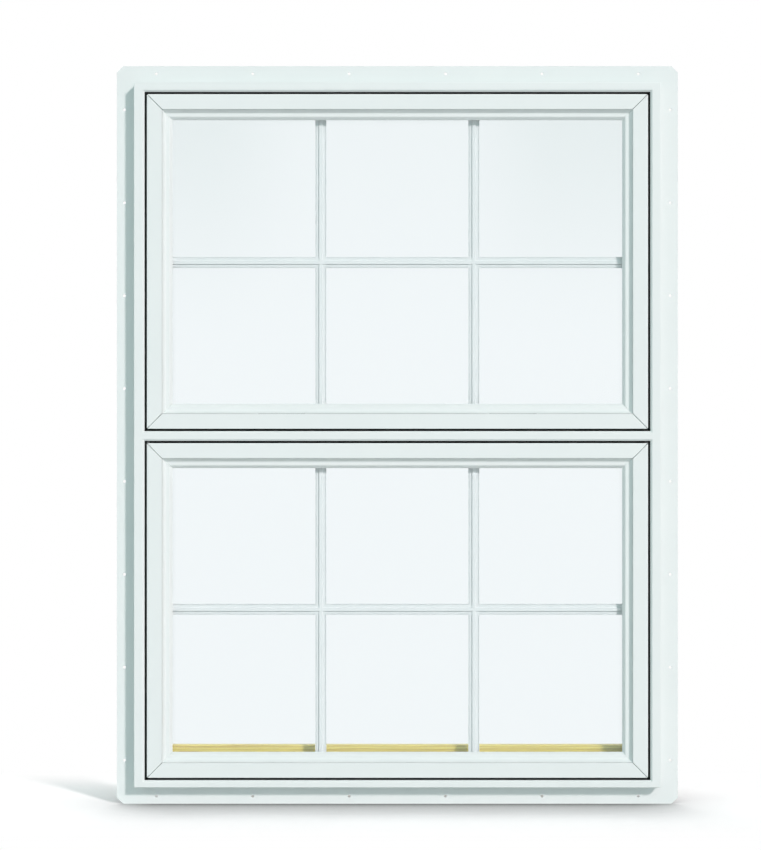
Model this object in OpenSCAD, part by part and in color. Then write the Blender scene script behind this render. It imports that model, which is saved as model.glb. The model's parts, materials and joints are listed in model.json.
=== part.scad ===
// Double casement window: two top-hung sashes, one above the other, in one
// white vinyl frame with a nailing fin. Millimetres, +Z up, street side at -Y.
// The origin is the centre of the window, on the back face of the fin.

/* [Frame] */
// Width of the frame without its fin
frame_w = 902; // [780:1:1200]
// Height of the frame without its fin
frame_h = 1206; // [1100:1:1600]
// Depth of the frame, street side to room side
frame_d = 73; // [70:1:85]
// Width of each jamb seen from the street
jamb_face = 18; // [14:0.5:26]
// Height of the head seen from the street
head_face = 15.5; // [8:0.5:26]
// Height of the sill seen from the street
sill_face = 12; // [8:0.5:26]
// Height of the mullion between the two sashes
mullion_face = 16.5; // [14:0.5:30]
// Bevel round the street edge of each opening
frame_bevel = 3; // [1:0.5:5]
// How far the sash stop stands into the opening
stop_h = 19; // [17:0.5:20]
// Thickness of the sash stop, up to the room side
stop_t = 17; // [14:0.5:20]

/* [Nailing fin] */
// How far the fin reaches past the frame
fin_w = 32; // [26:1:45]
// Thickness of the fin
fin_t = 2; // [1:0.5:4]
// Distance from the front of the frame back to the fin
fin_setback = 25; // [18:1:34]
// Cut across each corner of the fin
fin_corner = 11; // [4:1:16]
// Diameter of the nail holes
fin_hole_d = 5; // [3:0.5:8]
// Distance of the nail holes from the edge of the fin
fin_hole_edge = 13; // [8:1:20]
// Pitch of the nail holes along the head and the sill
fin_pitch_x = 166; // [120:1:190]
// Nail holes along the head, and along the sill
fin_holes_x = 6; // [2:2:6]
// Pitch of the nail holes along each jamb
fin_pitch_z = 160; // [120:1:165]
// Nail holes along each jamb
fin_holes_z = 8; // [2:2:8]

/* [Sash] */
// Gap between the sash and the frame, all round
sash_gap = 4; // [3.5:0.5:6]
// How far the sash lies behind the front of the frame
sash_recess = 2; // [0:0.5:4]
// Depth of the sash
sash_d = 50; // [48:0.5:51]
// Width of the flat outer face of the sash
sash_face = 26; // [22:0.5:34]
// Thickness of the flange that hides the hardware channel
flange_t = 12; // [8:0.5:13]
// How far the flange overhangs the body of the sash
flange_over = 11; // [10.5:0.5:13]
// Height of the leg behind the glass, above the glazing rebate
leg_h = 11; // [8:0.5:13]
// Bevel of the leg on the room side
leg_bevel = 3; // [1:0.5:5]
// Width of the groove along each welded mitre
mitre_groove_w = 0.5; // [0.3:0.1:1]
// Depth of the groove along each welded mitre
mitre_groove_d = 0.8; // [0.4:0.1:2]

/* [Glazing] */
// Thickness of each pane
pane_t = 3; // [3:0.5:4]
// Air space between the panes
air_gap = 16; // [14:0.5:17]
// Distance of the glass from the floor of its rebate
glass_margin = 5; // [3:0.5:8]
// Width of the first slope of the glazing bead
bead_slope_w = 5; // [3:0.5:8]
// Depth of the first slope of the glazing bead
bead_slope_d = 8; // [5:0.5:9]
// Width of the flat land of the glazing bead
bead_land_w = 7; // [4:0.5:10]
// Width of the last slope of the glazing bead, next to the glass
bead_lip_w = 5; // [3:0.5:7]
// Depth of the last slope of the glazing bead
bead_lip_d = 5; // [2:0.5:6]
// Edge that the glazing bead keeps at the glass
bead_edge = 0.5; // [0.3:0.1:1]
// Open joint between the mitred ends of the beads
bead_joint = 0.4; // [0.2:0.1:1]
// Height of the spacer between the panes
spacer_h = 8; // [6:0.5:10]
// Length of each setting block under the glass
block_l = 80; // [50:1:120]

/* [Muntins] */
// Width of the bars between the panes
muntin_w = 19; // [14:0.5:26]
// Thickness of the bars at their raised middle
muntin_t = 7; // [5:0.5:10]
// Thickness of the bars at their edges
muntin_edge_t = 3; // [2:0.5:4]
// Width of the raised middle of the bars
muntin_rib_w = 8; // [5:0.5:10]
// Run of the slope beside the raised middle
muntin_slope = 0.8; // [0.4:0.1:2]
// Distance from the bars back to the inner pane
muntin_back = 2; // [1:0.5:4]

/* [Friction stay] */
// Length of the support arm between its pivots
stay_arm_l = 130; // [110:1:140]
// Depth of the pivots behind the fin
stay_y = 8; // [7:0.5:9]
// Distance of the top pivot below the top of the sash
stay_drop = 8; // [7.5:0.5:10]
// Diameter of the pivots
stay_pin_d = 6; // [4:0.5:7]
// Thickness of the arms
stay_arm_t = 2.5; // [2:0.5:3]
// Width of the arms
stay_arm_w = 12; // [10:0.5:14]
// Radius of the eyes of the support arm
stay_eye_r = 8; // [6:0.5:8.5]
// Width of the track
track_w = 18; // [17:0.5:19]
// Depth of the track
track_h = 4.5; // [4.2:0.1:5]
// Wall of the track
track_wall = 1.2; // [1:0.1:1.5]
// Width of each lip that keeps the shoe in the track
track_lip = 2; // [1:0.5:3]
// Length of the track below the eye of the support arm
track_end = 6; // [2:1:20]
// Head of each rivet, past its shank on all sides
rivet_rim = 1.5; // [1:0.5:2.5]
// Thickness of the rivets' heads
rivet_head = 0.8; // [0.5:0.1:1]
// Room between the track and the support arm, for the rivets' heads
arm_gap = 1.5; // [1.5:0.1:2]
// Length of the sash arm below the top pivot
sash_arm_l = 190; // [150:1:230]
// Length of the shoe below the top pivot
shoe_l = 24; // [14:1:40]

/* [Cam handle] */
// Height of the handle's pivot above the bottom of the sash
handle_z = 130; // [110:1:220]
// Distance of the handle's pivot from the side of the sash
handle_inset = 25; // [24.5:0.5:27]
// Width of the base
handle_base_w = 16; // [14:0.5:18]
// Length of the base
handle_base_l = 70; // [50:1:90]
// Thickness of the base
handle_base_t = 5; // [3:0.5:8]
// Diameter of the hub
handle_hub_d = 18; // [16:0.5:19]
// Diameter of the spindle
spindle_d = 8; // [5:0.5:10]
// Length of the lever from the pivot to the centre of its round end
lever_l = 78; // [50:1:95]
// Thickness of the lever
lever_t = 7; // [5:0.5:10]
// Width of the lever where it leaves the hub
lever_root_w = 14; // [10:0.5:16]
// Width of the lever at its end
lever_end_w = 10; // [8:0.5:12]
// Length of the cam nose from the pivot
nose_l = 24; // [21:0.5:27]
// Width of the cam nose
nose_w = 11; // [8:0.5:14]
// Thickness of the strike plate
strike_t = 2; // [1:0.5:3]
// Width of the strike plate
strike_w = 15; // [10:0.5:18]
// Length of the strike plate
strike_l = 44; // [30:1:60]
// Radius of the strike plate's corners
strike_r = 3; // [1:0.5:5]
// Distance of the strike plate from the edge of the sash stop
strike_edge = 2; // [1:0.5:3]

/* [Seals and sill] */
// Thickness of the seal that lines each opening
lining_t = 1.2; // [0.8:0.1:1.5]
// Thickness of the seal on the sash stop
stop_seal_t = 3; // [2:0.1:3.2]
// Width of the pine board on the sill, street side to room side
board_d = 16; // [12:0.5:16.5]
// Height of the pine board above the sash stop
board_h = 33.5; // [16:0.5:36]

/* [Clearances] */
// Between moving pieces that must not touch
run_gap = 0.3; // [0.2:0.05:0.5]
// At the ends of the tracks and shoes and beside the seals
end_gap = 1; // [0.5:0.1:2]
// Round a pivot in its bore, on the radius
pin_gap = 0.05; // [0.02:0.01:0.1]

/* [Hidden] */
$fn = 48;

// Depths along Y
y_front = -fin_t - fin_setback;
y_rear = y_front + frame_d;
y_stop = y_rear - stop_t;
y_sash = y_front + sash_recess;
y_flange = y_sash + flange_t;
y_sash_rear = y_sash + sash_d;
y_glass = y_sash + bead_slope_d + bead_lip_d + bead_edge;
y_air = y_glass + pane_t;
y_inner = y_air + air_gap;
y_leg = y_inner + pane_t;
y_muntin = y_inner - muntin_back - muntin_t / 2;

// Opening of one sash, seen from the street
open_w = frame_w - 2 * jamb_face;
open_h = (frame_h - head_face - sill_face - mullion_face) / 2;
head_z = frame_h / 2 - head_face;
sill_z = sill_face - frame_h / 2;
upper_z = head_z - open_h / 2;
lower_z = sill_z + open_h / 2;

// Sash and glass
sash_w = open_w - 2 * sash_gap;
sash_h = open_h - 2 * sash_gap;
sight = sash_face + bead_slope_w + bead_land_w + bead_lip_w;
glass_in = sash_face + glass_margin;
glass_w = sash_w - 2 * glass_in;
glass_h = sash_h - 2 * glass_in;
clear_w = sash_w - 2 * sight;
clear_h = sash_h - 2 * sight;
muntin_x = ((clear_w - 2 * muntin_w) / 3 + muntin_w) / 2;

// Hardware channel beside the sash, measured inward from the jamb
channel = sash_gap + flange_over;
arm_in = track_h + arm_gap;
plate_in = channel - stay_arm_t;
pivot_s = sash_h / 2 - stay_drop;
pivot_a = pivot_s - stay_arm_l;
pivot_f = pivot_s - 2 * stay_arm_l;
rivet_d = stay_pin_d + 2 * rivet_rim;

// Handle
handle_x = sash_w / 2 - handle_inset;
handle_pivot_z = handle_z - sash_h / 2;
y_lever = y_rear + strike_t + run_gap;

// A size larger than the window, for cuts that run right through
far = 4 * (frame_w + frame_h);

// A box from its lower corner to its upper corner
module span(low, high) {
    translate(low) cube(high - low);
}

// A flat rectangular ring: outer size, width of the ring, depths of its faces
module ring(w, h, wide, y0, y1) {
    difference() {
        span([-w / 2, y0, -h / 2], [w / 2, y1, h / 2]);
        span([wide - w / 2, y0 - 1, wide - h / 2], [w / 2 - wide, y1 + 1, h / 2 - wide]);
    }
}

// A rectangle with round corners, centred
module rounded(w, h, r) {
    square([w - 2 * r, h], center = true);
    square([w, h - 2 * r], center = true);
    for (x = [r - w / 2, w / 2 - r], z = [r - h / 2, h / 2 - r]) translate([x, z]) circle(r);
}

// An upright strip with half-round ends, centred
module strip(w, l) {
    square([w, l - w], center = true);
    for (z = [w / 2 - l / 2, l / 2 - w / 2]) translate([0, z]) circle(d = w);
}

// A drawing in X and Z given a thickness along Y, from y0 to y1
module slab(y0, y1) {
    translate([0, y1, 0]) rotate([90, 0, 0]) linear_extrude(y1 - y0) children();
}

// Bottom bar of a mitred rectangle. The section is drawn inward along X, with depth along Y
module bottom_bar(w, h, wide, joint = 0) {
    cut = joint / sqrt(2);
    intersection() {
        translate([0, 0, -h / 2]) rotate([0, -90, 0]) linear_extrude(w, center = true) children();
        rotate([90, 0, 0]) linear_extrude(far, center = true) polygon([
            [cut - w / 2, -h / 2], [w / 2 - cut, -h / 2],
            [w / 2 - wide - cut, wide - h / 2], [wide + cut - w / 2, wide - h / 2]
        ]);
    }
}

// Left bar of a mitred rectangle, drawn the same way
module left_bar(w, h, wide, joint = 0) {
    cut = joint / sqrt(2);
    intersection() {
        translate([-w / 2, 0, 0]) linear_extrude(h, center = true) children();
        rotate([90, 0, 0]) linear_extrude(far, center = true) polygon([
            [-w / 2, cut - h / 2], [wide - w / 2, wide + cut - h / 2],
            [wide - w / 2, h / 2 - wide - cut], [-w / 2, h / 2 - cut]
        ]);
    }
}

// Mirror images from the left and the bottom, and the two together
module to_right() { mirror([1, 0, 0]) children(); }
module to_top() { mirror([0, 0, 1]) children(); }
module both_sides() {
    children();
    to_right() children();
}

// Places of the two sashes
module upper() { translate([0, 0, upper_z]) children(); }
module lower() { translate([0, 0, lower_z]) children(); }

// The bevel round the street edge of one opening, as a cutter
module bevel_cut() {
    deep = frame_bevel;
    intersection() {
        linear_extrude(open_h + 4 * deep, center = true) polygon([
            [-open_w / 2 - 2 * deep, y_front - deep], [open_w / 2 + 2 * deep, y_front - deep],
            [open_w / 2, y_front + deep], [-open_w / 2, y_front + deep]
        ]);
        rotate([0, -90, 0]) linear_extrude(open_w + 4 * deep, center = true) polygon([
            [-open_h / 2 - 2 * deep, y_front - deep], [open_h / 2 + 2 * deep, y_front - deep],
            [open_h / 2, y_front + deep], [-open_h / 2, y_front + deep]
        ]);
    }
}

// Welded vinyl frame with the stop that both sashes close against
module outer_frame() {
    color("white") difference() {
        span([-frame_w / 2, y_front, -frame_h / 2], [frame_w / 2, y_rear, frame_h / 2]);
        span([-open_w / 2, y_front - 1, sill_z], [open_w / 2, y_stop, head_z]);
        span([stop_h - open_w / 2, y_front, sill_z + stop_h],
            [open_w / 2 - stop_h, y_rear + 1, head_z - stop_h]);
        upper() bevel_cut();
        lower() bevel_cut();
    }
}

// Bar across the frame between the sashes: a T with a stop for each of them
module mullion() {
    low = sill_z + open_h;
    high = head_z - open_h;
    color("whitesmoke") difference() {
        union() {
            span([-open_w / 2, y_front, low], [open_w / 2, y_stop, high]);
            span([stop_h - open_w / 2, y_stop, low - stop_h],
                [open_w / 2 - stop_h, y_rear, high + stop_h]);
        }
        upper() bevel_cut();
        lower() bevel_cut();
    }
}

// Nail holes of the fin, in the plane of the window
module nail_holes() {
    hole_x = frame_w / 2 + fin_w - fin_hole_edge;
    hole_z = frame_h / 2 + fin_w - fin_hole_edge;
    for (i = [0 : fin_holes_x - 1], side = [-1, 1])
        translate([(i - (fin_holes_x - 1) / 2) * fin_pitch_x, side * hole_z]) circle(d = fin_hole_d);
    for (i = [0 : fin_holes_z - 1], side = [-1, 1])
        translate([side * hole_x, (i - (fin_holes_z - 1) / 2) * fin_pitch_z]) circle(d = fin_hole_d);
}

// Square turned by 45 degrees that cuts across one corner of the fin
module fin_corner_cut(x, z) {
    translate([x, z]) rotate(45) square(fin_corner * sqrt(2), center = true);
}

// Fin round the frame that lies on the wall and is nailed to it
module nailing_fin() {
    color("gainsboro") slab(-fin_t, 0) difference() {
        square([frame_w + 2 * fin_w, frame_h + 2 * fin_w], center = true);
        for (x = [-1, 1], z = [-1, 1]) fin_corner_cut(x * (frame_w / 2 + fin_w), z * (frame_h / 2 + fin_w));
        square([frame_w, frame_h], center = true);
        nail_holes();
    }
}

// Pine board that stands on the sill's stop, behind the lower sash
module sill_board() {
    low = sill_z + stop_h;
    color("burlywood") span([stop_h - open_w / 2, y_rear - board_d, low],
        [open_w / 2 - stop_h, y_rear, low + board_h]);
}

// Black seals of one opening: a lining behind the bevel and a pad on the stop
module weatherstrip() {
    color("black") {
        ring(open_w, open_h, lining_t, y_front + 2 * frame_bevel, stay_y - track_w / 2 - end_gap);
        ring(open_w, open_h, stop_h - end_gap, y_stop - stop_seal_t, y_stop);
    }
}

// Section of the welded sash: outer flange, body, glazing rebate and inner leg
module sash_section() {
    polygon([
        [0, y_sash], [sash_face, y_sash], [sash_face, y_leg], [sash_face + leg_h, y_leg],
        [sash_face + leg_h, y_sash_rear - leg_bevel], [sash_face + leg_h - leg_bevel, y_sash_rear],
        [flange_over, y_sash_rear], [flange_over, y_flange], [0, y_flange]
    ]);
}

// Groove along the lower left mitre of the outer face
module mitre_groove() {
    translate([-sash_w / 2, y_sash, -sash_h / 2]) rotate([0, -45, 0])
        translate([0, -mitre_groove_d, -mitre_groove_w / 2])
            cube([sash_face * sqrt(2), 2 * mitre_groove_d, mitre_groove_w]);
}

// Sash of four mitred profiles welded into one
module sash_frame() {
    wide = sash_face + leg_h;
    color("white") difference() {
        union() {
            bottom_bar(sash_w, sash_h, wide) sash_section();
            to_top() bottom_bar(sash_w, sash_h, wide) sash_section();
            left_bar(sash_w, sash_h, wide) sash_section();
            to_right() left_bar(sash_w, sash_h, wide) sash_section();
        }
        both_sides() {
            mitre_groove();
            to_top() mitre_groove();
        }
    }
}

// Section of a glazing bead: slope, land and lip down to the glass
module bead_section() {
    land = y_sash + bead_slope_d;
    polygon([
        [sash_face, y_sash], [sash_face + bead_slope_w, land],
        [sash_face + bead_slope_w + bead_land_w, land], [sight, y_glass - bead_edge],
        [sight, y_glass], [sash_face, y_glass]
    ]);
}

// Glazing beads that hold the glass from the street side
module bead_bottom() {
    color("ivory") bottom_bar(sash_w, sash_h, sight, bead_joint) bead_section();
}
module bead_top() {
    to_top() bead_bottom();
}
module bead_left() {
    color("ivory") left_bar(sash_w, sash_h, sight, bead_joint) bead_section();
}
module bead_right() {
    to_right() bead_left();
}

// One pane of the double glazing, with its street face at y
module pane(y) {
    color("lightcyan", 0.5) span([-glass_w / 2, y, -glass_h / 2], [glass_w / 2, y + pane_t, glass_h / 2]);
}
module outer_pane() { pane(y_glass); }
module inner_pane() { pane(y_inner); }

// Aluminium spacer round the air space, filled with drying agent
module spacer() {
    color("silver") ring(glass_w, glass_h, spacer_h, y_air, y_inner);
}

// Section of a bar: thin edges and a raised middle on both sides, across X
module muntin_section() {
    edge = muntin_edge_t / 2;
    rib = muntin_rib_w / 2;
    foot = rib + muntin_slope;
    polygon([
        [-muntin_w / 2, -edge], [-foot, -edge], [-rib, -muntin_t / 2], [rib, -muntin_t / 2],
        [foot, -edge], [muntin_w / 2, -edge], [muntin_w / 2, edge], [foot, edge],
        [rib, muntin_t / 2], [-rib, muntin_t / 2], [-foot, edge], [-muntin_w / 2, edge]
    ]);
}

// Grid of bars in the air space, clipped between the spacers
module muntin_grid() {
    span_w = glass_w - 2 * spacer_h;
    span_h = glass_h - 2 * spacer_h;
    color("snow") translate([0, y_muntin, 0]) {
        for (x = [-muntin_x, muntin_x]) translate([x, 0, 0])
            linear_extrude(span_h, center = true) muntin_section();
        rotate([0, -90, 0]) linear_extrude(span_w, center = true) muntin_section();
    }
}

// Two blocks that carry the glass in the bottom of its rebate
module setting_blocks() {
    low = sash_face - sash_h / 2;
    color("dimgray") both_sides() translate([glass_w / 4, 0, 0])
        span([-block_l / 2, y_glass, low], [block_l / 2, y_leg, low + glass_margin]);
}

// A round pin along X between two distances from the left jamb
module pin(z, d, t0, t1) {
    translate([t0 - open_w / 2, stay_y, z]) rotate([0, 90, 0]) cylinder(d = d, h = t1 - t0);
}

// Section of the track: a channel with two lips, across the jamb
module track_section() {
    half = track_w / 2;
    difference() {
        translate([0, -half]) square([track_h, track_w]);
        translate([track_wall, track_wall - half]) square([track_h - 2 * track_wall, track_w - 2 * track_wall]);
        translate([track_wall, track_wall + track_lip - half])
            square([track_h, track_w - 2 * (track_wall + track_lip)]);
    }
}

// Tracks on the jambs, each with the rivet that carries its support arm
module stay_tracks() {
    low = pivot_f - stay_eye_r - track_end;
    high = open_h / 2 - end_gap;
    arm_out = arm_in + stay_arm_t;
    color("lightsteelblue") both_sides() {
        translate([-open_w / 2, stay_y, low]) linear_extrude(high - low) track_section();
        pin(pivot_f, rivet_d, track_wall, arm_in - run_gap);
        pin(pivot_f, stay_pin_d, track_wall, arm_out + run_gap);
        pin(pivot_f, rivet_d, arm_out + run_gap, arm_out + run_gap + rivet_head);
    }
}

// Support arm on the left: a flat bar with an eye at each end
module stay_arm_left() {
    color("steelblue") translate([arm_in - open_w / 2, stay_y, 0]) rotate([90, 0, 90])
        linear_extrude(stay_arm_t) difference() {
            union() {
                translate([-stay_arm_w / 2, pivot_f]) square([stay_arm_w, stay_arm_l]);
                for (z = [pivot_f, pivot_a]) translate([0, z]) circle(stay_eye_r);
            }
            for (z = [pivot_f, pivot_a]) translate([0, z]) circle(stay_pin_d / 2 + pin_gap);
        }
}
module stay_arm_right() {
    to_right() stay_arm_left();
}

// Arms on the sides of the sash, with rivets for the support arms and the shoes
module sash_arms() {
    shoe_in = track_wall + run_gap;
    color("slategray") both_sides() {
        translate([plate_in - open_w / 2, stay_y, 0]) rotate([90, 0, 90]) linear_extrude(stay_arm_t) {
            translate([-stay_arm_w / 2, pivot_s - sash_arm_l]) square([stay_arm_w, sash_arm_l]);
            translate([0, pivot_s]) circle(stay_arm_w / 2);
            translate([0, pivot_s - sash_arm_l]) circle(stay_arm_w / 2);
        }
        pin(pivot_a, rivet_d, arm_in + stay_arm_t + run_gap, plate_in);
        pin(pivot_a, stay_pin_d, arm_in - run_gap, plate_in);
        pin(pivot_a, rivet_d, arm_in - run_gap - rivet_head, arm_in - run_gap);
        pin(pivot_s, stay_pin_d, shoe_in + run_gap, plate_in);
    }
}

// Shoes that slide in the tracks and carry the top of the sash
module stay_shoes() {
    half = track_w / 2 - track_wall - run_gap;
    neck = half - track_lip;
    inside = track_wall + run_gap;
    high = pivot_s + stay_drop - end_gap;
    color("goldenrod") both_sides() difference() {
        union() {
            span([inside - open_w / 2, stay_y - half, pivot_s - shoe_l],
                [track_h - track_wall - run_gap - open_w / 2, stay_y + half, high]);
            span([inside - open_w / 2, stay_y - neck, pivot_s - shoe_l],
                [arm_in + stay_arm_t - open_w / 2, stay_y + neck, high]);
        }
        pin(pivot_s, stay_pin_d + 2 * pin_gap, 0, channel);
    }
}

// Bases of the two cam handles on the stiles, each with boss and spindle
module handle_bases() {
    top = y_lever - run_gap;
    color("lightgray") both_sides() translate([-handle_x, 0, handle_pivot_z]) {
        slab(y_sash_rear, y_sash_rear + handle_base_t) strip(handle_base_w, handle_base_l);
        slab(y_sash_rear, top) circle(d = handle_base_w);
        slab(y_sash_rear, y_lever + lever_t) circle(d = spindle_d);
    }
}

// Left cam handle: lever up and nose down while it is open
module handle_left() {
    color("gray") translate([-handle_x, 0, handle_pivot_z]) slab(y_lever, y_lever + lever_t) difference() {
        union() {
            circle(d = handle_hub_d);
            polygon([
                [-lever_root_w / 2, 0], [lever_root_w / 2, 0],
                [lever_end_w / 2, lever_l], [-lever_end_w / 2, lever_l]
            ]);
            translate([0, lever_l]) circle(d = lever_end_w);
            translate([-nose_w / 2, nose_w / 2 - nose_l]) square([nose_w, nose_l - nose_w / 2]);
            translate([0, nose_w / 2 - nose_l]) circle(d = nose_w);
        }
        circle(d = spindle_d + 2 * pin_gap);
    }
}
module handle_right() {
    to_right() handle_left();
}

// Plates on the jambs' stops that the noses of the handles turn onto
module strikes() {
    edge = open_w / 2 - stop_h + strike_edge;
    color("darkgray") both_sides() translate([-edge - strike_w / 2, 0, handle_pivot_z])
        slab(y_rear, y_rear + strike_t) rounded(strike_w, strike_l, strike_r);
}

outer_frame();
mullion();
nailing_fin();
sill_board();
upper() weatherstrip();  // upper_weatherstrip
upper() stay_tracks();  // upper_stay_tracks
upper() strikes();  // upper_strikes
upper() sash_frame();  // upper_sash_frame
upper() bead_top();  // upper_bead_top
upper() bead_bottom();  // upper_bead_bottom
upper() bead_left();  // upper_bead_left
upper() bead_right();  // upper_bead_right
upper() outer_pane();  // upper_outer_pane
upper() inner_pane();  // upper_inner_pane
upper() spacer();  // upper_spacer
upper() muntin_grid();  // upper_muntin_grid
upper() setting_blocks();  // upper_setting_blocks
upper() sash_arms();  // upper_sash_arms
upper() handle_bases();  // upper_handle_bases
upper() stay_arm_left();  // upper_stay_arm_left
upper() stay_arm_right();  // upper_stay_arm_right
upper() stay_shoes();  // upper_stay_shoes
upper() handle_left();  // upper_handle_left
upper() handle_right();  // upper_handle_right
lower() weatherstrip();  // lower_weatherstrip
lower() stay_tracks();  // lower_stay_tracks
lower() strikes();  // lower_strikes
lower() sash_frame();  // lower_sash_frame
lower() bead_top();  // lower_bead_top
lower() bead_bottom();  // lower_bead_bottom
lower() bead_left();  // lower_bead_left
lower() bead_right();  // lower_bead_right
lower() outer_pane();  // lower_outer_pane
lower() inner_pane();  // lower_inner_pane
lower() spacer();  // lower_spacer
lower() muntin_grid();  // lower_muntin_grid
lower() setting_blocks();  // lower_setting_blocks
lower() sash_arms();  // lower_sash_arms
lower() handle_bases();  // lower_handle_bases
lower() stay_arm_left();  // lower_stay_arm_left
lower() stay_arm_right();  // lower_stay_arm_right
lower() stay_shoes();  // lower_stay_shoes
lower() handle_left();  // lower_handle_left
lower() handle_right();  // lower_handle_right
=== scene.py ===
"""A white vinyl window of two top-hung casement sashes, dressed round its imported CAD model.

Metres throughout, +Z up, street side at -Y, room side at +Y.
"""
import json

import bmesh
import bpy
import numpy as np
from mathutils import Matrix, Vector


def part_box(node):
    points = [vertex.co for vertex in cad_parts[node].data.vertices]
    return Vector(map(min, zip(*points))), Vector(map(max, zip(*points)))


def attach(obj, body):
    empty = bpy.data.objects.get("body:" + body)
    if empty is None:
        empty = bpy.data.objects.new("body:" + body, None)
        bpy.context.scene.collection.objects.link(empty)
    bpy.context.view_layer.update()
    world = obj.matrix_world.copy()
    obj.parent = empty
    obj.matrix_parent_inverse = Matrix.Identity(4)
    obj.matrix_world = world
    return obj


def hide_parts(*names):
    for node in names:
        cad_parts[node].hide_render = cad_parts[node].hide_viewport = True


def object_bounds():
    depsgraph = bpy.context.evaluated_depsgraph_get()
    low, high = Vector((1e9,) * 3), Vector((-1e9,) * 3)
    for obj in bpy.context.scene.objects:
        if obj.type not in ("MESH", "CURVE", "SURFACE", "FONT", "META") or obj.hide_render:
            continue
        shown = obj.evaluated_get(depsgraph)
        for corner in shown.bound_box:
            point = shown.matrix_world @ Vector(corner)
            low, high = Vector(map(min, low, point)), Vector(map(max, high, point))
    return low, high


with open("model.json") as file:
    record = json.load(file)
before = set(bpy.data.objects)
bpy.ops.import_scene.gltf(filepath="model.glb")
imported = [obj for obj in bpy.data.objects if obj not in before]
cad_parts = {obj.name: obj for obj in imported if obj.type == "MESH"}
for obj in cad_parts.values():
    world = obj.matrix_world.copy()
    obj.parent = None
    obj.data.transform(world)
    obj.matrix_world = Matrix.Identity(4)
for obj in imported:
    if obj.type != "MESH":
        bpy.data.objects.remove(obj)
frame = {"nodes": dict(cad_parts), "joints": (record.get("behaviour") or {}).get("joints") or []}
cad_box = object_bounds()


# The view: square on to the street side, from far enough back that the
# rebates hardly show their sides, a little left of and above the middle.
IMAGE_H_PX = 850
M_PER_PX = 0.00171
STAND_OFF = 3.6
SENSOR_MM = 36.0
OFF_CENTRE = (-0.029, 0.0171)

scene = bpy.context.scene
scene.view_settings.view_transform = "Standard"
lens = bpy.data.cameras.new("camera")
lens.sensor_width = SENSOR_MM
lens.lens = SENSOR_MM * STAND_OFF / (IMAGE_H_PX * M_PER_PX)
camera = bpy.data.objects.new("camera", lens)
scene.collection.objects.link(camera)
street_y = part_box("outer_frame")[0].y
camera.location = (OFF_CENTRE[0], street_y - STAND_OFF, OFF_CENTRE[1])
camera.rotation_euler = (np.pi / 2, 0, 0)
scene.camera = camera


# The studio: a white floor under the fin, one lamp up on the right, a wide
# fill from the left, a wide lamp on the room side and a little light all round.
def linear(code):
    """An sRGB hex colour as linear red, green, blue and alpha, by the sRGB curve."""
    c = np.array([int(code[i:i + 2], 16) for i in (0, 2, 4)]) / 255
    return (*np.where(c <= 0.04045, c / 12.92, ((c + 0.055) / 1.055) ** 2.4), 1.0)


def lamp(name, towards, spread_deg, strength, tint, mirrored=True):
    """A distant lamp: towards points from the window to it, and spread is the angle that it fills.
    A wide one isn't mirrored, so that the glass shows the white studio and not a disc."""
    data = bpy.data.lights.new(name, "SUN")
    data.angle = np.radians(spread_deg)
    data.energy = strength
    data.color = linear(tint)[:3]
    thing = bpy.data.objects.new(name, data)
    thing.rotation_euler = Vector(towards).to_track_quat("Z", "Y").to_euler()
    thing.visible_glossy = thing.visible_transmission = mirrored
    scene.collection.objects.link(thing)


lamp("key", (0.74, -1.0, 0.7), 7, 2.27, "FFF0F1")
lamp("fill", (-0.35, -1.0, 0.05), 140, 1.55, "E0FFFF", mirrored=False)
lamp("room", (-0.25, 1.0, 0.15), 90, 2.9, "FFFFFF", mirrored=False)


def add(tree, kind, settings=None, values=None, links=None):
    """Adds one node to a tree: its own settings, its socket values and the sockets that feed it."""
    made = tree.nodes.new(kind)
    for name, value in (settings or {}).items():
        setattr(made, name, value)
    for socket, value in (values or {}).items():
        made.inputs[socket].default_value = value
    for socket, source in (links or {}).items():
        tree.links.new(source, made.inputs[socket])
    return made


def looking(tree):
    """A tree's light path, and the socket that is 1 for a ray that looks, which comes from the
    camera, a mirror or glass, and 0 for one that lights."""
    path = add(tree, "ShaderNodeLightPath")
    direct = add(tree, "ShaderNodeMath", {"operation": "MAXIMUM"},
                 links={0: path.outputs["Is Camera Ray"], 1: path.outputs["Is Glossy Ray"]})
    looks = add(tree, "ShaderNodeMath", {"operation": "MAXIMUM"},
                links={0: direct.outputs[0], 1: path.outputs["Is Transmission Ray"]})
    return path, looks.outputs[0]


# All round is white to whatever looks. In the glass a grey-green ceiling shows
# too: high up, on the street side, and fainter straight ahead than to the sides.
AMBIENT = 0.1
CEILING_LOW, CEILING_HIGH = 0.03, 0.17
CEILING_NONE_Y, CEILING_FULL_Y = 0.5, -0.5
AHEAD, ASIDE, FAINT = 0.03, 0.085, 0.3

world = bpy.data.worlds.new("studio")
scene.world = world
world.use_nodes = True
sky = world.node_tree
sky.nodes.clear()
path, looks = looking(sky)
aim = add(sky, "ShaderNodeSeparateXYZ",
          links={0: add(sky, "ShaderNodeTexCoord").outputs["Generated"]})
high_up = add(sky, "ShaderNodeMapRange", {"interpolation_type": "SMOOTHSTEP"},
              {"From Min": CEILING_LOW, "From Max": CEILING_HIGH}, {"Value": aim.outputs["Z"]})
street = add(sky, "ShaderNodeMapRange", {"interpolation_type": "SMOOTHSTEP"},
             {"From Min": CEILING_NONE_Y, "From Max": CEILING_FULL_Y}, {"Value": aim.outputs["Y"]})
off_axis = add(sky, "ShaderNodeMath", {"operation": "ABSOLUTE"}, links={0: aim.outputs["X"]})
aside = add(sky, "ShaderNodeMapRange", {"interpolation_type": "SMOOTHSTEP"},
            {"From Min": AHEAD, "From Max": ASIDE, "To Min": FAINT}, {"Value": off_axis.outputs[0]})
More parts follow.
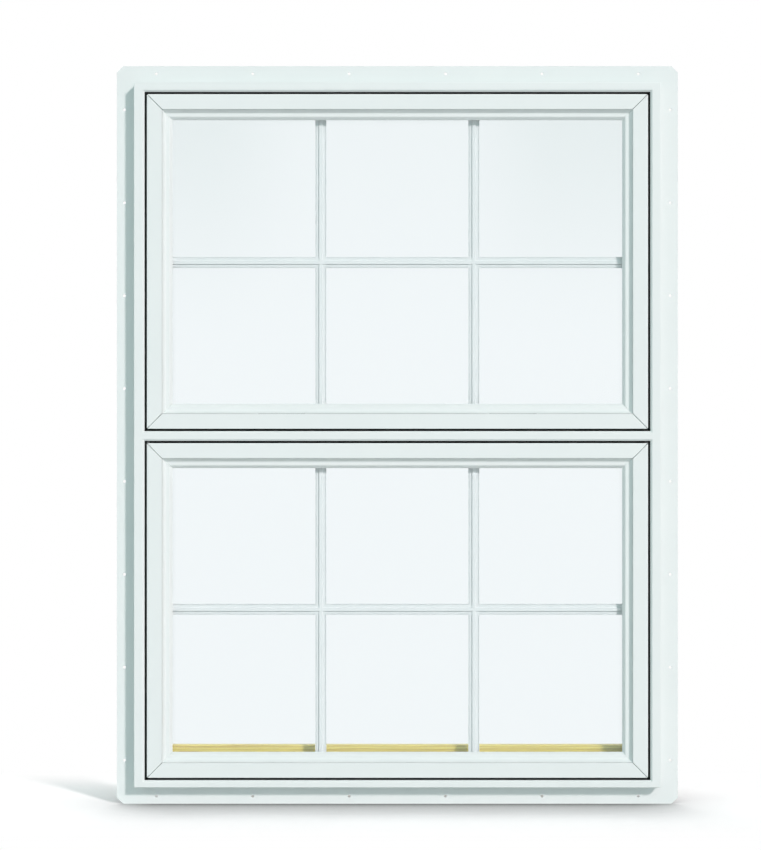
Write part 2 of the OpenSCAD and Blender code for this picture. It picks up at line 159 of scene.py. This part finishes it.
mirrored = add(sky, "ShaderNodeMath", {"operation": "GREATER_THAN"}, {1: 0.5},
               {0: path.outputs["Glossy Depth"]})
ceiling = high_up.outputs["Result"]
for part in (street.outputs["Result"], aside.outputs["Result"], mirrored.outputs[0]):
    ceiling = add(sky, "ShaderNodeMath", {"operation": "MULTIPLY"},
                  links={0: ceiling, 1: part}).outputs[0]
room = add(sky, "ShaderNodeMix", {"data_type": "RGBA"},
           {"A": linear("FFFFFF"), "B": linear("86AC9C")}, {"Factor": ceiling})
glow = add(sky, "ShaderNodeBackground", values={"Color": linear("E6FDFC"), "Strength": AMBIENT})
white = add(sky, "ShaderNodeBackground", values={"Strength": 1.0},
            links={"Color": room.outputs["Result"]})
both = add(sky, "ShaderNodeMixShader", links={0: looks, 1: glow.outputs[0], 2: white.outputs[0]})
add(sky, "ShaderNodeOutputWorld", links={"Surface": both.outputs[0]})

# The paper is white to whatever looks at it, apart from the window's shadow
# close by: behind it the lamp's own shadow, and at its foot a painted shadow, a
# soft dark line that ambient occlusion draws into the paper's colour and glow.
FLOOR_REACH = 14.0
FLOOR_LIFT = 0.23
SHADOW_NEAR, SHADOW_FAR = 0.1, 0.32
FOOT_SHADOW_REACH, FOOT_SHADOW_GAMMA = 0.16, 1.15

floor_z = cad_box[0].z
floor_mesh = bpy.data.meshes.new("floor")
floor_mesh.from_pydata([(x, y, floor_z) for y in (-FLOOR_REACH, FLOOR_REACH)
                        for x in (-FLOOR_REACH, FLOOR_REACH)], [], [(0, 1, 3, 2)])
floor = bpy.data.objects.new("floor", floor_mesh)
scene.collection.objects.link(floor)
paper = bpy.data.materials.new("white_paper")
paper.use_nodes = True
tree = paper.node_tree
matt = tree.nodes["Principled BSDF"]
matt.inputs["Roughness"].default_value = 0.9
_, looks = looking(tree)
spot = add(tree, "ShaderNodeSeparateXYZ",
           links={0: add(tree, "ShaderNodeTexCoord").outputs["Object"]})
away = add(tree, "ShaderNodeMath", {"operation": "ABSOLUTE"}, links={0: spot.outputs["Y"]})
far = add(tree, "ShaderNodeMapRange", {"interpolation_type": "SMOOTHSTEP"},
          {"From Min": SHADOW_NEAR, "From Max": SHADOW_FAR}, {"Value": away.outputs[0]})
fade = add(tree, "ShaderNodeMath", {"operation": "MULTIPLY"},
           links={0: far.outputs["Result"], 1: looks})
# Painted shadow at the window's foot: occlusion darkens the paper's colour and glow.
painted_foot_shadow = add(tree, "ShaderNodeAmbientOcclusion", {"samples": 16},
             {"Color": linear("FAFAFA"), "Distance": FOOT_SHADOW_REACH})
foot = add(tree, "ShaderNodeGamma", values={"Gamma": FOOT_SHADOW_GAMMA},
           links={"Color": painted_foot_shadow.outputs["Color"]})
shade = add(tree, "ShaderNodeMix", {"data_type": "RGBA"}, {"A": linear("DADADA")},
            {"Factor": looks, "B": foot.outputs[0]})
tree.links.new(shade.outputs["Result"], matt.inputs["Base Color"])
lift = add(tree, "ShaderNodeMath", {"operation": "MULTIPLY"}, {1: FLOOR_LIFT}, {0: looks})
lit = add(tree, "ShaderNodeEmission",
          links={"Color": shade.outputs["Result"], "Strength": lift.outputs[0]})
near = add(tree, "ShaderNodeAddShader", links={0: matt.outputs[0], 1: lit.outputs[0]})
plain = add(tree, "ShaderNodeEmission", values={"Strength": 1.0})
total = add(tree, "ShaderNodeMixShader",
            links={0: fade.outputs[0], 1: near.outputs[0], 2: plain.outputs[0]})
tree.links.new(total.outputs[0], tree.nodes["Material Output"].inputs["Surface"])
floor_mesh.materials.append(paper)


# The outer frame: vinyl profiles cut at 45 degrees and welded into one
# rectangle, with a stop along the room side that both sashes close against.
def eased(corners, radius, steps=4, face=0.0):
    """A closed outline with its corners rounded: each corner C becomes the parabola that leaves the
    edge before it at A and joins the edge after it at B, (1-u)(1-u) A + 2u(1-u) C + u u B. A and B
    lie a radius from C. A third column of the corners counts as that share of the face width."""
    c = np.asarray(corners, float)
    r = np.broadcast_to(np.asarray(radius, float), len(c))[:, None]
    flat = c[:, :2] + (c[:, 2:] * [face, 0] if c.shape[1] > 2 else 0)
    length = np.linalg.norm(np.roll(flat, -1, 0) - flat, axis=1)[:, None]
    a = c + (np.roll(c, 1, 0) - c) * r / np.roll(length, 1, 0)
    b = c + (np.roll(c, -1, 0) - c) * r / length
    u = np.linspace(0, 1, steps)[None, :, None]
    arcs = (1 - u) ** 2 * a[:, None] + 2 * u * (1 - u) * c[:, None] + u ** 2 * b[:, None]
    return arcs.reshape(-1, c.shape[1])


def carried_round(box, section, faces=(0, 0, 0), seam=0.0, sink=0.0):
    """A section carried round a rectangle with mitred corners. Each row of the section is how far
    in from the outer edge a point lies and its depth, and a third column says how much of that
    side's face width is added, where the faces are those of the sides, the bottom and the top. With
    a seam, each mitre has a groove: the points on it are moved into the section by the sink, along
    the section's normal, and those a seam's width off aren't."""
    left, right, bottom, top = box
    inward, depth = section[:, 0], section[:, 1]
    share = section[:, 2] if section.shape[1] > 2 else np.zeros(len(section))
    along = np.roll(section[:, :2], -1, 0) - np.roll(section[:, :2], 1, 0)
    area = np.sum(inward * np.roll(depth, -1) - np.roll(inward, -1) * depth)
    normal = np.sign(area) * np.stack([along[:, 1], -along[:, 0]], 1)
    normal /= np.linalg.norm(normal, axis=1)[:, None] + 1e-12
    corner = np.array([[left, bottom], [right, bottom], [right, top], [left, top]])
    inside = np.array([[1, 1], [-1, 1], [-1, -1], [1, -1]])
    width = np.array([[faces[0], faces[1]]] * 2 + [[faces[0], faces[2]]] * 2)
    step = np.array([[1, 0], [0, 1], [-1, 0], [0, -1]]) * seam
    before = -np.roll(step, 1, 0)
    shift = np.stack([before, np.zeros((4, 2)), step], 1)
    sunk = np.array([0, sink, 0])[None, :, None]
    reach = inward + share * width[:, None, :, None] - (sunk * normal[:, 0])[:, :, None, :]
    spot = corner[:, None, :, None] + inside[:, None, :, None] * reach + shift[..., None]
    deep = np.broadcast_to(depth - sunk * normal[:, 1], (4, 3, len(section)))
    points = np.stack([spot[:, :, 0], deep, spot[:, :, 1]], -1)
    return points.reshape(-1, len(section), 3) if seam else points[:, 1]


def skin(points, caps=False):
    """Quads over a grid of points that closes on itself across the section, and along it unless it
    has caps."""
    rows, cols = points.shape[:2]
    i, j = np.meshgrid(np.arange(rows - caps), np.arange(cols), indexing="ij")
    i2, j2 = (i + 1) % rows, (j + 1) % cols
    quads = np.stack([i * cols + j, i2 * cols + j, i2 * cols + j2, i * cols + j2], -1)
    faces = quads.reshape(-1, 4).tolist()
    if caps:
        faces += [list(range(cols)), list(range((rows - 1) * cols, rows * cols))]
    return points.reshape(-1, 3), faces


SHARP_DEG = 38


def make(name, shells, material, body, replaced=()):
    """One piece from shells of points and faces, with its normals turned outwards and its sharp
    edges kept. It rides on a body, takes a slot's finish, and may stand for CAD nodes."""
    points, faces, start = [], [], 0
    for shell_points, shell_faces in shells:
        points.append(shell_points)
        faces += [[v + start for v in face] for face in shell_faces]
        start += len(shell_points)
    mesh = bpy.data.meshes.new(name)
    mesh.from_pydata(np.concatenate(points).tolist(), [], faces)
    work = bmesh.new()
    work.from_mesh(mesh)
    bmesh.ops.recalc_face_normals(work, faces=work.faces)
    work.to_mesh(mesh)
    work.free()
    mesh.shade_smooth()
    mesh.set_sharp_from_angle(angle=np.radians(SHARP_DEG))
    mesh.materials.append(material)
    thing = bpy.data.objects.new(name, mesh)
    scene.collection.objects.link(thing)
    even = thing.modifiers.new("even_faces", "WEIGHTED_NORMAL")
    even.keep_sharp = True
    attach(thing, body)
    if replaced:
        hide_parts(*replaced)


def finish(name, colour, roughness, metallic=0.0, ior=1.5):
    """A node material with its Principled shader set: gives the material, its tree, the shader, and
    the socket of Object coordinates."""
    made = bpy.data.materials.new(name)
    made.use_nodes = True
    shader = made.node_tree.nodes["Principled BSDF"]
    shader.inputs["Base Color"].default_value = linear(colour)
    shader.inputs["Roughness"].default_value = roughness
    shader.inputs["Metallic"].default_value = metallic
    shader.inputs["IOR"].default_value = ior
    place = add(made.node_tree, "ShaderNodeTexCoord").outputs["Object"]
    return made, made.node_tree, shader, place


def vary(tree, shader, pattern, tones=None, sheen=None, relief=None):
    """Lets a pattern's factor vary a finish: the colour between two tones, the roughness between
    two values, and the relief, a bump of a strength and a height."""
    factor = pattern.outputs["Fac"]
    if tones:
        tone = add(tree, "ShaderNodeMix", {"data_type": "RGBA"},
                   {"A": linear(tones[0]), "B": linear(tones[1])}, {"Factor": factor})
        tree.links.new(tone.outputs["Result"], shader.inputs["Base Color"])
    if sheen:
        gloss = add(tree, "ShaderNodeMapRange", values={"To Min": sheen[0], "To Max": sheen[1]},
                    links={"Value": factor})
        tree.links.new(gloss.outputs["Result"], shader.inputs["Roughness"])
    if relief:
        bump = add(tree, "ShaderNodeBump", values={"Strength": relief[0], "Distance": relief[1]},
                   links={"Height": factor})
        tree.links.new(bump.outputs["Normal"], shader.inputs["Normal"])


# Extruded vinyl: satin white, very even, with a faint cloudiness and the
# slight orange peel that the die leaves. The peel is drawn at 4 mm to show.
CLOUD_W, PEEL_W = 0.11, 0.004
vinyl, tree, shader, place = finish("extruded_vinyl", "E6EFEE", 0.48, ior=1.53)
shader.inputs["Specular IOR Level"].default_value = 0.3
cloud = add(tree, "ShaderNodeTexNoise", values={"Scale": 1 / CLOUD_W, "Detail": 3.0},
            links={"Vector": place})
vary(tree, shader, cloud, tones=("E2EAE9", "E7EEED"))
peel = add(tree, "ShaderNodeTexNoise", values={"Scale": 1 / PEEL_W, "Detail": 2.0},
           links={"Vector": place})
vary(tree, shader, peel, relief=(0.04, 0.0004))

BEVEL, STOP_H = 0.003, 0.019
low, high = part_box("outer_frame")
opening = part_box("lower_weatherstrip")[0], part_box("upper_weatherstrip")[1]
stop_y = opening[1].y
face_widths = (opening[0].x - low.x, opening[0].z - low.z, high.z - opening[1].z)
section = eased([
    [0, low.y, 0], [-BEVEL, low.y, 1], [0, low.y + BEVEL, 1], [0, stop_y, 1],
    [STOP_H, stop_y, 1], [STOP_H, high.y, 1], [0, high.y, 0],
], [0.0018, 0.0004, 0.0004, 0.0004, 0.001, 0.001, 0.001], face=face_widths[0])
profile = carried_round((low.x, high.x, low.z, high.z), section, face_widths)
make("outer_frame_profile", [skin(profile)], vinyl, "frame", ["outer_frame"])


# The mullion: the same vinyl, a T-shaped bar notched into the jambs, with a
# stop on each side for the sash above it and the sash below it.
def bar_across(section, reach):
    """A section in height and depth carried along X, from minus to plus the reach of each of its
    points."""
    reach = np.broadcast_to(reach, len(section))
    ends = [np.stack([sign * reach, section[:, 1], section[:, 0]], 1) for sign in (-1, 1)]
    return skin(np.stack(ends), caps=True)


low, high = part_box("mullion")
web_low, web_high = low.z + STOP_H, high.z - STOP_H
web = np.array([
    [web_low + BEVEL, low.y], [web_high - BEVEL, low.y], [web_high, low.y + BEVEL],
    [web_high, stop_y], [web_low, stop_y], [web_low, low.y + BEVEL],
])
notch = np.maximum(low.y + BEVEL - web[:, 1], 0)
stop = np.array([[low.z, stop_y], [high.z, stop_y], [high.z, high.y], [low.z, high.y]])
make("mullion_profile", [bar_across(web, high.x + notch), bar_across(stop, high.x - STOP_H)],
     vinyl, "frame", ["mullion"])


# The nailing fin: a thin strip of the same vinyl, snapped into a groove round
# the frame, punched with nail holes.
def dress(names, material):
    """Gives CAD nodes a finish in place of their plain one."""
    for name in names:
        slots = frame["nodes"][name].data.materials
        slots.clear()
        slots.append(material)


dress(["nailing_fin"], vinyl)


# The seals: black EPDM, a thin lining of each opening and a soft pad on the stop.
# The lining is a real black seal, and it also stands for the shade deep in the
# narrow gap round the sash: painted shade that makes the gap look black. The
# blocks under the glass are rubber too.
# Extruded EPDM is a dull black with a fine grit and a faint grey bloom.
UNITS = ("upper", "lower")
BLOOM_W, GRIT_W = 0.04, 0.003
rubber, tree, shader, place = finish("black_epdm", "16191A", 0.72, ior=1.52)
bloom = add(tree, "ShaderNodeTexNoise", values={"Scale": 1 / BLOOM_W, "Detail": 3.0},
            links={"Vector": place})
vary(tree, shader, bloom, tones=("0D1011", "151819"))
grit = add(tree, "ShaderNodeTexNoise", values={"Scale": 1 / GRIT_W, "Detail": 4.0},
           links={"Vector": place})
vary(tree, shader, grit, relief=(0.2, 0.0005))
dress([f"{u}_{n}" for u in UNITS for n in ("weatherstrip", "setting_blocks")], rubber)


# The board on the sill: planed pine, screwed down behind the lower sash, with
# its long edges eased by hand.
# Pine darkens slowly from pale early wood to a thin brown line, again and again,
# cut along the log: the rings run along the board, 3 to 8 mm apart, over fibres.
# A wave texture repeats after pi / 10 divided by its scale.
RING_GAP, RING_RUN, RING_LEAN = 0.005, 0.03, 0.55
FIBRE_W, FIBRE_L = 0.0007, 0.04
BOARD_EASE = 0.0012
pine, tree, shader, place = finish("planed_pine", "E2C376", 0.46)
cut = add(tree, "ShaderNodeMapping", values={"Scale": (RING_RUN, RING_LEAN, 1.0)},
          links={"Vector": place})
rings = add(tree, "ShaderNodeTexWave", {"wave_profile": "SAW", "bands_direction": "Z"},
            {"Scale": np.pi / 10 / RING_GAP, "Distortion": 8.0, "Detail": 2.0, "Detail Scale": 2.0},
            {"Vector": cut.outputs[0]})
shade = add(tree, "ShaderNodeValToRGB", links={"Fac": rings.outputs["Fac"]})
early, late = shade.color_ramp.elements
early.position, early.color = 0.35, linear("F6E07A")
late.position, late.color = 1.0, linear("D7B253")
strand = add(tree, "ShaderNodeMapping",
             values={"Scale": (1 / FIBRE_L, 1 / FIBRE_W, 1 / FIBRE_W)}, links={"Vector": place})
fibre = add(tree, "ShaderNodeTexNoise", values={"Scale": 1.0, "Detail": 3.0},
            links={"Vector": strand.outputs[0]})
fine = add(tree, "ShaderNodeMapRange", values={"To Min": 0.88, "To Max": 1.12},
           links={"Value": fibre.outputs["Fac"]})
grain = add(tree, "ShaderNodeMix", {"data_type": "RGBA", "blend_type": "MULTIPLY"},
            {"Factor": 1.0}, {"A": shade.outputs["Color"], "B": fine.outputs["Result"]})
tree.links.new(grain.outputs["Result"], shader.inputs["Base Color"])
vary(tree, shader, fibre, relief=(0.12, 0.0003))

low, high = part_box("sill_board")
board = eased([[low.z, low.y], [high.z, low.y], [high.z, high.y], [low.z, high.y]], BOARD_EASE)
make("pine_sill_board", [bar_across(board, high.x)], pine, "frame", ["sill_board"])


# The sashes: vinyl profiles with a flange that hides the hardware, welded at
# the mitres. The weld bead is cleaned off and leaves a fine groove.
FACE_W, FLANGE_OVER, FLANGE_T = 0.026, 0.011, 0.012
LEG_H, LEG_BEVEL = 0.011, 0.003
WELD_SEAM, WELD_SINK = 0.0008, 0.0045
for u in UNITS:
    low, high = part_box(f"{u}_sash_frame")
    leg_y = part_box(f"{u}_inner_pane")[1].y
    section = eased([
        [0, low.y], [FACE_W, low.y], [FACE_W, leg_y], [FACE_W + LEG_H, leg_y],
        [FACE_W + LEG_H, high.y - LEG_BEVEL], [FACE_W + LEG_H - LEG_BEVEL, high.y],
        [FLANGE_OVER, high.y], [FLANGE_OVER, low.y + FLANGE_T], [0, low.y + FLANGE_T],
    ], [0.0018, 0.0006, 0.0004, 0.0006, 0.001, 0.001, 0.0008, 0.0006, 0.0008])
    profile = carried_round((low.x, high.x, low.z, high.z), section,
                            seam=WELD_SEAM, sink=WELD_SINK)
    make(f"{u}_sash_profile", [skin(profile)], vinyl, f"{u}_sash", [f"{u}_sash_frame"])


# The glazing beads: four vinyl strips that snap in from the street side and
# hold the glass, meeting in open mitres and leaving a fine joint at the sash.
# A cove leads from the slope of each to its land.
BEAD_JOINT, SLOPE_W, SLOPE_D = 0.0004, 0.005, 0.008
LAND_W, LIP_W, LIP_T = 0.007, 0.005, 0.0005
BEAD_SEAM, BEAD_SINK = 0.0005, 0.0008
outer_in = FACE_W + BEAD_JOINT
land_in = FACE_W + SLOPE_W
land_end = land_in + LAND_W
for u in UNITS:
    low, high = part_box(f"{u}_sash_frame")
    face_y, glass_y = low.y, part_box(f"{u}_outer_pane")[0].y
    section = eased([
        [outer_in, face_y + BEAD_JOINT], [land_in, face_y + SLOPE_D], [land_end, face_y + SLOPE_D],
        [land_end + LIP_W, glass_y - LIP_T], [land_end + LIP_W, glass_y], [outer_in, glass_y],
    ], [0.0004, 0.0026, 0.0014, 0.0002, 0.0001, 0.0004], steps=6)
    profile = carried_round((low.x, high.x, low.z, high.z), section,
                            seam=BEAD_SEAM, sink=BEAD_SINK)
    make(f"{u}_glazing_beads", [skin(profile)], vinyl, f"{u}_sash",
         [f"{u}_bead_{s}" for s in ("top", "bottom", "left", "right")])


# The panes: clear float glass, two to a sash with a spacer between them.
# Float glass is dead smooth and faintly green. Lamps shine through it, so that
# what is behind it is lit.
glass, tree, shader, _ = finish("float_glass", "F8FBFC", 0.0)
shader.inputs["Transmission Weight"].default_value = 1.0
path = add(tree, "ShaderNodeLightPath")
lights = add(tree, "ShaderNodeMath", {"operation": "MAXIMUM"},
             links={0: path.outputs["Is Shadow Ray"], 1: path.outputs["Is Diffuse Ray"]})
clear = add(tree, "ShaderNodeBsdfTransparent", values={"Color": linear("FCFEFE")})
both = add(tree, "ShaderNodeMixShader",
           links={0: lights.outputs[0], 1: shader.outputs[0], 2: clear.outputs[0]})
tree.links.new(both.outputs[0], tree.nodes["Material Output"].inputs["Surface"])
dress([f"{u}_{p}_pane" for u in UNITS for p in ("outer", "inner")], glass)


# The spacer: mill-finish aluminium box section, bent round the glass edge and
# filled with drying agent.
# Mill finish is a soft grey sheen, cloudy from the rollers.
ROLLER_W = 0.006
mill, tree, shader, place = finish("mill_aluminium", "C9CBCC", 0.38, metallic=1.0)
rolled = add(tree, "ShaderNodeTexNoise", values={"Scale": 1 / ROLLER_W, "Detail": 3.0},
             links={"Vector": place})
vary(tree, shader, rolled, tones=("C1C3C5", "D0D2D3"), sheen=(0.3, 0.46))
dress([f"{u}_spacer" for u in UNITS], mill)


# The bars between the panes: roll-formed aluminium with a raised middle and a
# fold along one side of it, both edges hemmed, enamelled white and clipped to
# the spacer. The bar across laps over the uprights by a hair.
# Baked enamel is an even white with a soft gloss, a little thicker in places.
POOL_W = 0.05
enamel, tree, shader, place = finish("white_enamel", "F1F2F3", 0.28)
pool = add(tree, "ShaderNodeTexNoise", values={"Scale": 1 / POOL_W, "Detail": 2.0},
           links={"Vector": place})
vary(tree, shader, pool, tones=("E9ECEC", "F0F2F2"))

BAR_W, BAR_EDGE_T, RIB_W, RIB_T, RIB_LEAN = 0.019, 0.004, 0.0065, 0.007, 0.0004
FOLD_W, FOLD_D, HEM_IN, HEM_W, HEM_D = 0.0011, 0.0018, 0.0012, 0.0006, 0.0012
BAR_EASE, LAP = 0.00015, 1.02
half, rib, fold = BAR_W / 2, RIB_W / 2, RIB_W / 2 + FOLD_W
edge, crown = BAR_EDGE_T / 2, RIB_T / 2
root, hem_root = edge - FOLD_D, edge - HEM_D
hem = half - np.array([HEM_IN + HEM_W, HEM_IN + HEM_W, HEM_IN, HEM_IN, 0])
flange = np.array([edge, hem_root, hem_root, edge, edge])
across = np.concatenate([
    -hem[::-1], [-fold, -fold, -rib, RIB_LEAN - rib, rib - RIB_LEAN, rib], hem])
rise = np.concatenate([flange[::-1], [edge, root, root, crown, crown, edge], flange])
front, back = np.stack([across, -rise], 1), np.stack([across, rise], 1)
bar = eased(np.concatenate([front, back[::-1]]), BAR_EASE, steps=3)
for u in UNITS:
    low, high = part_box(f"{u}_muntin_grid")
    middle = (low + high) / 2
    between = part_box(f"{u}_bead_right")[0].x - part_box(f"{u}_bead_left")[1].x
    bar_x = ((between - 2 * BAR_W) / 3 + BAR_W) / 2
    shells = [bar_across(bar * [1, LAP] + [middle.z, middle.y], high.x)]
    for x in (-bar_x, bar_x):
        points, faces = bar_across(bar + [x, middle.y], (high.z - low.z) / 2)
        shells.append((points[:, [2, 1, 0]] + [0, 0, middle.z], faces))
    make(f"{u}_glazing_bars", shells, enamel, f"{u}_sash",
         [f"{u}_muntin_grid"])


# The friction stays: stamped stainless arms and tracks, riveted, that carry
# the sash as it swings out, each with a brass shoe that slides in its track.
# Stamped stainless has long faint roll lines that stretch its reflections.
LINE_W, LINE_L = 0.0012, 0.06
stainless, tree, shader, place = finish("stamped_stainless", "B9BCBE", 0.32, metallic=1.0)
stretch = add(tree, "ShaderNodeMapping", values={"Scale": (1 / LINE_W, 1 / LINE_W, 1 / LINE_L)},
              links={"Vector": place})
lines = add(tree, "ShaderNodeTexNoise", values={"Scale": 1.0, "Detail": 3.0},
            links={"Vector": stretch.outputs[0]})
vary(tree, shader, lines, tones=("AFB2B5", "C2C5C6"), sheen=(0.24, 0.44))
dress([f"{u}_{n}" for u in UNITS
       for n in ("stay_tracks", "stay_arm_left", "stay_arm_right", "sash_arms")], stainless)

# Machined brass is warm and satin, with fine tool marks and dull patches.
TOOL_MARK_W = 0.0015
brass, tree, shader, place = finish("machined_brass", "C8A45C", 0.34, metallic=1.0)
turned = add(tree, "ShaderNodeTexNoise", values={"Scale": 1 / TOOL_MARK_W, "Detail": 2.0},
             links={"Vector": place})
vary(tree, shader, turned, tones=("BC9750", "D0AF68"), sheen=(0.26, 0.42))
dress([f"{u}_stay_shoes" for u in UNITS], brass)


# The cam handles: die-cast zinc, enamelled white, a lever with a nose that
# turns over a plate on the jamb and draws the sash shut.
HUB_R, ROOT_W, END_W, NOSE_W = 0.009, 0.014, 0.010, 0.011
END_H, NOSE_H, FALL, END_DROP = 0.0052, 0.0062, 0.8, 0.45
FILLET, SQUARE, ABSENT, POINT_W = 700.0, 3.2, -0.01, 2e-5
LEVER_ROWS, LEVER_COLS = 97, 25


def lever(pivot, foot, tip, back, front):
    """A loft along Z from the nose's foot to the lever's tip. Its half width is that of a hub disc,
    a tapering lever and a nose, filleted by the log of the sum of their exponentials, and beyond
    the middles of the two round ends that of a disc. Across it runs half a superellipse: the back
    is flat, and the height falls from the hub towards both ends."""
    t = (1 - np.cos(np.linspace(0, np.pi, LEVER_ROWS))) / 2
    z = foot + (tip - foot) * t
    end, nose = tip - END_W / 2, foot + NOSE_W / 2
    above, below = z - pivot[2], pivot[2] - z
    share = np.clip(above / (end - pivot[2]), 0, 1)
    hub = np.where(np.abs(above) < HUB_R, np.sqrt(np.maximum(HUB_R ** 2 - above ** 2, 0)), ABSENT)
    arm = np.where((above >= 0) & (z <= end), (ROOT_W + (END_W - ROOT_W) * share) / 2, ABSENT)
    tongue = np.where((below >= 0) & (z >= nose), NOSE_W / 2, ABSENT)
    wide = np.log(sum(np.exp(FILLET * part) for part in (hub, arm, tongue))) / FILLET
    past = np.maximum(z - end, 0) / (END_W / 2) + np.maximum(nose - z, 0) / (NOSE_W / 2)
    rounded = np.sqrt(np.maximum(1 - past ** 2, 0))
    wide = np.where(past > 0, np.where(z > end, END_W / 2, NOSE_W / 2) * rounded, wide)
    tall = front - back
    down = np.maximum(below, 0) / (pivot[2] - foot)
    high = tall + (END_H - tall) * share ** FALL + (NOSE_H - tall) * down
    high = high * (1 - END_DROP + END_DROP * rounded)
    a = np.linspace(0, np.pi, LEVER_COLS)
    x = np.sign(np.cos(a)) * np.abs(np.cos(a)) ** (2 / SQUARE)
    x = pivot[0] + np.maximum(wide, POINT_W)[:, None] * x
    y = back + high[:, None] * np.sin(a) ** (2 / SQUARE)
    return skin(np.stack([x, y, np.broadcast_to(z[:, None], x.shape)], -1), caps=True)


for joint in frame["joints"]:
    if "_handle_" in joint["name"]:
        node = joint["name"]
        low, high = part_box(node)
        make(f"{node}_lever", [lever(joint["pos_m"], low.z, high.z, low.y, high.y)], enamel,
             joint["child"], [node])
dress([f"{u}_{n}" for u in UNITS for n in ("handle_bases", "strikes")], enamel)


# The screws: zinc-plated pan heads with a cross recess. They hold the handles'
# bases and the stays' arms to the sash, and the plates and tracks to the jambs.
# Zinc plate is bright and bluish, with a straw tint here and there.
SPECKLE_W = 0.002
zinc, tree, shader, place = finish("zinc_plate", "C6CACC", 0.3, metallic=1.0)
speckle = add(tree, "ShaderNodeTexNoise", values={"Scale": 1 / SPECKLE_W, "Detail": 2.0},
              links={"Vector": place})
vary(tree, shader, speckle, tones=("BFC6CB", "D0CFC6"), sheen=(0.22, 0.4))

SCREW_R, SCREW_PROUD, SCREW_BURY, DOME = 0.0032, 0.0016, 0.0003, 0.7
# The cross, in shares of the head's radius: half the width of its arms, the
# slope of their walls, their reach, the slope at their ends, and the depth.
CROSS_HALF, CROSS_SLOPE, CROSS_REACH, CROSS_END, CROSS_D = 0.14, 0.06, 0.56, 0.08, 0.45


def screw(spot, out):
    """A screw head at spot, facing along out: on a grid of radius and angle, the height is a dome,
    the proud height times a power of the root of 1 minus the radius squared, less a cross-shaped
    recess with sloping walls. A last ring lies a little below the surface that the head sits on."""
    r = np.concatenate([np.linspace(0.02, 0.62, 13), np.linspace(0.7, 1.0, 9)])[:, None]
    a = np.linspace(0, 2 * np.pi, 64, endpoint=False)[None, :]
    u, v = r * np.cos(a), r * np.sin(a)
    narrow = np.minimum(np.abs(u), np.abs(v))
    recess = np.clip((CROSS_HALF - narrow) / CROSS_SLOPE, 0, 1)
    recess = recess * np.clip((CROSS_REACH - r) / CROSS_END, 0, 1)
    dome = SCREW_PROUD * np.sqrt(np.maximum(1 - r ** 2, 0)) ** DOME
    lift = dome - CROSS_D * SCREW_R * recess
    u, v = (np.concatenate([w, w[-1:]]) for w in (u, v))
    lift = np.concatenate([lift, np.full((1, a.size), -SCREW_BURY)])
    out = np.asarray(out, float)
    up = np.array([0.0, 0.0, 1.0])
    flat = SCREW_R * (u[..., None] * np.cross(out, up) + v[..., None] * up)
    return skin(np.asarray(spot) + flat + lift[..., None] * out, caps=True)


BASE_W, BASE_T, BASE_SCREW = 0.016, 0.005, 0.026
PLATE_EDGE, PLATE_SCREW = 0.0055, 0.0175
TRACK_WALL, TRACK_SCREWS = 0.0012, (0.05, 0.13)
ARM_FACE, ARM_SCREWS = 0.0125, (-0.045, 0.05, 0.09)
pivot = {joint["name"]: joint["pos_m"] for joint in frame["joints"]}
for u in UNITS:
    on_sash, on_frame = [], []
    low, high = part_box(f"{u}_handle_bases")
    mid = (low.z + high.z) / 2
    base_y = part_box(f"{u}_sash_frame")[1].y + BASE_T
    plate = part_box(f"{u}_strikes")[1]
    jamb_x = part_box(f"{u}_stay_tracks")[1].x
    rivet, eye = pivot[f"{u}_opening"], pivot[f"{u}_sash_pivot"]
    for side in (-1, 1):
        base_x, plate_x = side * (high.x - BASE_W / 2), side * (plate.x - PLATE_EDGE)
        arm_x, track_x = side * (jamb_x - ARM_FACE), side * (jamb_x - TRACK_WALL)
        on_sash += [screw((base_x, base_y, mid + end), (0, 1, 0))
                    for end in (-BASE_SCREW, BASE_SCREW)]
        on_sash += [screw((arm_x, eye[1], eye[2] + up), (side, 0, 0)) for up in ARM_SCREWS]
        on_frame += [screw((plate_x, plate.y, mid + end), (0, 1, 0))
                     for end in (-PLATE_SCREW, PLATE_SCREW)]
        on_frame += [screw((track_x, rivet[1], rivet[2] + up), (-side, 0, 0))
                     for up in TRACK_SCREWS]
    make(f"{u}_sash_screws", on_sash, zinc, f"{u}_sash")
    make(f"{u}_frame_screws", on_frame, zinc, "frame")
